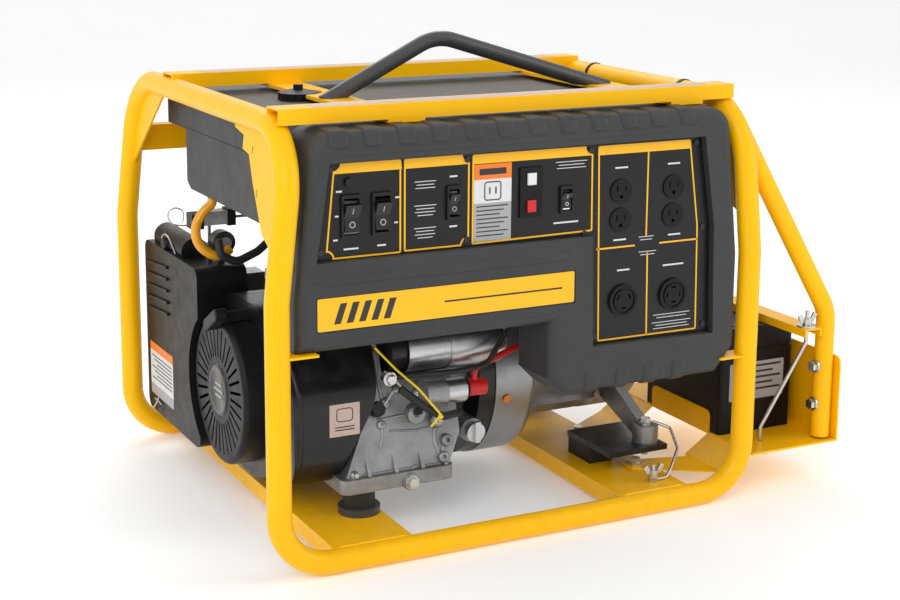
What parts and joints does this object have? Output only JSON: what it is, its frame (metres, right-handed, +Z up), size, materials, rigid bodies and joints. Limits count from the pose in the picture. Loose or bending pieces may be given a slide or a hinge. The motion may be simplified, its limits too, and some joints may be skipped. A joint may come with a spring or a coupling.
{
  "type": "portable generator",
  "caption": "Open tube-frame generator set: engine and alternator on rubber mounts, overhead tank, switch and outlet panel, battery on a side tray, lifting bail.",
  "frame": {"origin": "on the floor, in the middle of the overall box in X and Y", "axes": "+X along the engine shaft from the starter end to the battery tray, +Y from the control panel to the back, +Z up"},
  "size_m": [0.904, 0.666, 0.6669],
  "materials": {
    "yellow_paint": "gloss powder coat",
    "grey_paint": "satin dark grey",
    "black_paint": "satin black",
    "zinc_steel": "zinc plated",
    "dark_steel": "machined",
    "cast_aluminium": "as cast",
    "turned_aluminium": "satin",
    "iron": "as cast",
    "black_rubber": "matte",
    "red_rubber": "matte",
    "amber_rubber": "satin",
    "grey_moulding": "fine grain",
    "black_moulding": "fine grain",
    "black_gloss": "gloss",
    "white_button": "gloss",
    "red_button": "gloss"
  },
  "bodies": {
    "generator": {"frame_front_rail": "yellow_paint", "frame_rear_rail": "yellow_paint", "frame_left_hoop": "yellow_paint", "frame_right_hoop": "yellow_paint", "top_rail_front": "yellow_paint", "top_rail_rear": "yellow_paint", "base_channel_left": "yellow_paint", "base_channel_right": "yellow_paint", "frame_brackets": "yellow_paint", "cross_straps": "yellow_paint", "lifting_bail": "grey_paint", "guard_tube": "yellow_paint", "battery_tray": "yellow_paint", "hex_bolts": "zinc_steel", "rubber_mounts": "black_rubber", "fuel_tank": "grey_moulding", "front_shroud": "grey_moulding", "control_panel": "black_moulding", "panel_screws": "zinc_steel", "gfci_body": "black_moulding", "duplex_outlets": "black_moulding", "locking_outlets": "black_moulding", "battery": "black_moulding", "hold_down_bar": "yellow_paint", "hold_down_rods": "zinc_steel", "battery_cable_red": "red_rubber", "battery_cable_black": "black_rubber", "crankcase": "cast_aluminium", "cylinder_head": "cast_aluminium", "rocker_cover": "black_paint", "spark_plug": "black_rubber", "fan_housing": "black_paint", "recoil_cover": "black_moulding", "muffler": "black_paint", "air_cleaner_case": "black_moulding", "carburetor": "cast_aluminium", "idle_solenoid": "dark_steel", "starter_motor": "turned_aluminium", "starter_solenoid": "turned_aluminium", "alternator_adapter": "black_paint", "alternator_housing": "cast_aluminium", "alternator_stator": "dark_steel", "alternator_bracket": "cast_aluminium", "fuel_hose": "amber_rubber", "engine_leads": "black_rubber"},
    "cap": {"tank_cap": "black_moulding"},
    "oil_cap": {"oil_filler_cap": "turned_aluminium"},
    "engine_switch": {"engine_rocker": "black_gloss"},
    "idle_switch": {"idle_rocker": "black_gloss"},
    "voltage_switch": {"voltage_rocker": "black_gloss"},
    "breaker_switch": {"breaker_rocker": "black_gloss"},
    "test_key": {"gfci_test_button": "white_button"},
    "reset_key": {"gfci_reset_button": "red_button"},
    "crank": {"crankshaft": "dark_steel", "flywheel": "iron", "alternator_rotor": "dark_steel"},
    "starter_grip": {"recoil_handle": "black_moulding"},
    "nut_front": {"wing_nut_front": "zinc_steel"},
    "nut_rear": {"wing_nut_rear": "zinc_steel"},
    "nut_earth": {"ground_wing_nut": "zinc_steel"}
  },
  "joints": [
    {"name": "tank_cap_turn", "type": "hinge", "parent": "generator", "child": "cap", "pos_m": [-0.269, 0.02, 0.58], "axis": [0, 0, 1], "range_deg": [0, 90]},
    {"name": "oil_cap_turn", "type": "hinge", "parent": "generator", "child": "oil_cap", "pos_m": [-0.091, -0.187, 0.113], "axis": [0, -1, 0], "continuous": true},
    {"name": "engine_switch_rock", "type": "hinge", "parent": "generator", "child": "engine_switch", "pos_m": [-0.335, -0.31275, 0.466], "axis": [1, 0, 0], "range_deg": [-20, 0]},
    {"name": "idle_switch_rock", "type": "hinge", "parent": "generator", "child": "idle_switch", "pos_m": [-0.293, -0.31275, 0.466], "axis": [1, 0, 0], "range_deg": [-20, 0]},
    {"name": "voltage_switch_rock", "type": "hinge", "parent": "generator", "child": "voltage_switch", "pos_m": [-0.192, -0.31275, 0.472], "axis": [1, 0, 0], "range_deg": [-20, 0]},
    {"name": "breaker_switch_rock", "type": "hinge", "parent": "generator", "child": "breaker_switch", "pos_m": [-0.024, -0.31275, 0.463], "axis": [1, 0, 0], "range_deg": [-20, 0]},
    {"name": "test_key_press", "type": "slide", "parent": "generator", "child": "test_key", "axis": [0, 1, 0], "range_m": [0, 0.002], "stiffness_N_per_m": 600},
    {"name": "reset_key_press", "type": "slide", "parent": "generator", "child": "reset_key", "axis": [0, 1, 0], "range_m": [0, 0.002], "stiffness_N_per_m": 600},
    {"name": "crank_spin", "type": "hinge", "parent": "generator", "child": "crank", "pos_m": [-0.079, -0.02, 0.17], "axis": [1, 0, 0], "continuous": true},
    {"name": "starter_grip_pull", "type": "slide", "parent": "generator", "child": "starter_grip", "axis": [-1, 0, 0], "range_m": [0, 0.6], "stiffness_N_per_m": 25},
    {"name": "nut_front_turn", "type": "hinge", "parent": "generator", "child": "nut_front", "pos_m": [0.399, -0.302, 0.243], "axis": [0, 0, 1], "continuous": true},
    {"name": "nut_rear_turn", "type": "hinge", "parent": "generator", "child": "nut_rear", "pos_m": [0.399, 0.035, 0.243], "axis": [0, 0, 1], "continuous": true},
    {"name": "nut_earth_turn", "type": "hinge", "parent": "generator", "child": "nut_earth", "pos_m": [0.149, -0.284, 0.042], "axis": [0, 0, 1], "continuous": true}
  ]
}
